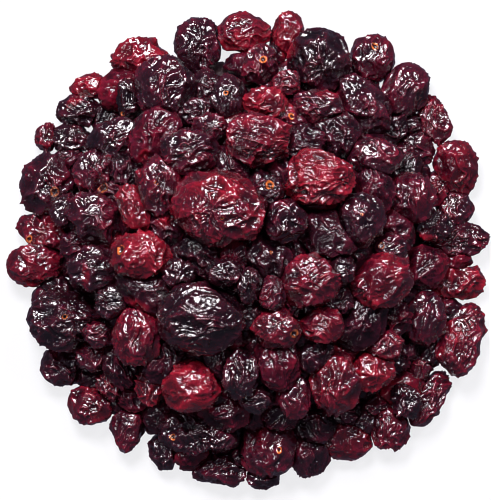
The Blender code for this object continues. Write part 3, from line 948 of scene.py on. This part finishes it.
def make_core():
    """A low lumpy dome with a flat foot, wholly under the berries."""
    draw = np.random.default_rng(WRINKLE_SEED)
    form = bmesh.new()
    rings = []
    for ring in range(CORE_RINGS):
        angle = 0.5 * math.pi * (ring + 0.5) / CORE_RINGS
        radius = CORE_RADIUS * math.sin(angle)
        height = CORE_HEIGHT * math.cos(angle)
        turns = [2.0 * math.pi * step / CORE_STEPS for step in range(CORE_STEPS)]
        rings.append([(radius * math.cos(turn), radius * math.sin(turn), height) for turn in turns])
    points = np.array(rings).reshape(-1, 3)
    points *= (1.0 + CORE_UNEVENNESS * waves(points, draw, CORE_WAVE))[:, None]
    foot = np.array(rings[-1]) * (1.0, 1.0, 0.0)
    points = np.concatenate([points, foot, [(0.0, 0.0, CORE_HEIGHT), (0.0, 0.0, 0.0)]])
    verts = [form.verts.new(point * MM) for point in points]
    for ring in range(CORE_RINGS):
        for step in range(CORE_STEPS):
            after = (step + 1) % CORE_STEPS
            low = (ring + 1) * CORE_STEPS
            corners = [ring * CORE_STEPS + step, low + step, low + after, ring * CORE_STEPS + after]
            form.faces.new([verts[corner] for corner in corners])
    for step in range(CORE_STEPS):
        after = (step + 1) % CORE_STEPS
        foot_start = CORE_RINGS * CORE_STEPS
        form.faces.new([verts[-2], verts[step], verts[after]])
        form.faces.new([verts[-1], verts[foot_start + after], verts[foot_start + step]])
    mesh = bpy.data.meshes.new("heap_core")
    form.to_mesh(mesh)
    form.free()
    mesh.shade_smooth()
    core = bpy.data.objects.new("heap_core", mesh)
    bpy.context.scene.collection.objects.link(core)
    core.data.materials.append(core_material())
    return core


def group_of(number, shown, kind, tone, large):
    """Name of the piece that a berry is joined to."""
    if number >= shown:
        return "lower"
    if large:
        return "large_dark" if tone < LARGE_DARK else "large_red"
    return kind if number < len(SHOWN_BERRIES) else f"between_{kind}"


def make_berries(heap):
    """All berries, joined by size, place and tone into a few pieces."""
    middles, _, _, shown = heap
    scars = scars_by_berry(heap)
    draw = np.random.default_rng(FORM_SEED)
    spheres = {cuts: unit_sphere(cuts) for cuts in (LOWER_CUTS, SHOWN_CUTS, LARGE_CUTS)}
    groups = {}
    for number in range(len(middles)):
        listed = number < len(SHOWN_BERRIES)
        if listed:
            kind = SHOWN_BERRIES[number][5]
        else:
            # Berries between and below lean to dark tones, as painted shade in the gaps.
            shares = BETWEEN_SHADE_TONES if number < shown else LOWER_SHADE_TONES
            kind = draw.choice(list(shares), p=list(shares.values()))
        tone = TONES[kind] + draw.uniform(-TONE_SPREAD, TONE_SPREAD)
        large = listed and SHOWN_BERRIES[number][2] > LARGE_LENGTH
        unit, faces = spheres[LOWER_CUTS if number >= shown else LARGE_CUTS if large else SHOWN_CUTS]
        part = berry(number, heap, scars, unit)
        part["faces"] = faces
        part["tone"] = blushed(part["points"], tone)
        groups.setdefault(group_of(number, shown, kind, tone, large), []).append(part)
    glossy = skin_material("dried_cranberry_skin", *SHOWN_GLOSS)
    # A less glossy copy of the skin, as painted shade on the berries between and below.
    shade_skin = skin_material("dried_cranberry_skin_painted_shade", *PAINTED_SHADE_GLOSS)
    pieces = []
    for kind, parts in sorted(groups.items()):
        piece = joined(f"berries_{kind}", parts)
        piece.data.materials.append(shade_skin if kind == "lower" or kind.startswith("between") else glossy)
        pieces.append(piece)
        print(piece.name, len(parts), "berries", len(piece.data.polygons), "triangles")
    return pieces


def make_stage():
    """A plain white floor, left out of reflections so that it doesn't grey the flanks of dark berries."""
    bpy.ops.mesh.primitive_plane_add(size=FLOOR_SIZE, location=(0.0, 0.0, -FLOOR_DROP))
    floor = bpy.context.active_object
    floor.name = "floor"
    nodes = Nodes("white_floor")
    nodes.put_all(FLOOR_VALUES)
    floor.data.materials.append(nodes.material)
    floor.visible_glossy = False


def make_light(name, place, size, power):
    """A soft lamp that looks at the heap."""
    data = bpy.data.lights.new(name, "AREA")
    data.size = size
    data.energy = power
    data.color = LAMP_COLOUR
    lamp = bpy.data.objects.new(name, data)
    lamp.location = place
    lamp.rotation_euler = (-Vector(place)).to_track_quat("-Z", "Y").to_euler()
    bpy.context.scene.collection.objects.link(lamp)


def make_lights():
    """A weak world, the lamps, and how the light is shown."""
    world = bpy.data.worlds.new("studio")
    bpy.context.scene.world = world
    world.use_nodes = True
    background = world.node_tree.nodes["Background"]
    background.inputs["Color"].default_value = WORLD_COLOUR
    background.inputs["Strength"].default_value = WORLD_STRENGTH
    for lamp in LAMPS:
        make_light(*lamp)
    bpy.context.scene.view_settings.view_transform = "Standard"
    bpy.context.scene.cycles.filter_width = PIXEL_FILTER


def make_camera():
    """The photograph's view: almost straight down, a little from the front."""
    data = bpy.data.cameras.new("camera")
    data.sensor_fit = "VERTICAL"
    data.sensor_height = SENSOR
    data.lens = SENSOR * VIEW_DISTANCE / VIEW_HEIGHT
    camera = bpy.data.objects.new("camera", data)
    tilt = math.radians(VIEW_ELEVATION)
    towards = Vector((0.0, -math.cos(tilt), math.sin(tilt)))
    camera.location = Vector(VIEW_TARGET) + towards * VIEW_DISTANCE
    camera.rotation_euler = (0.5 * math.pi - tilt, 0.0, 0.0)
    bpy.context.scene.collection.objects.link(camera)
    bpy.context.scene.camera = camera


def main():
    """The view and its light, then the pieces that stand for the heap."""
    make_camera()
    make_lights()
    make_stage()
    core = make_core()
    pieces = [core] + make_berries(finished(settled()))
    for piece in pieces:
        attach(piece, "root")
        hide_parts(HEAP)


main()
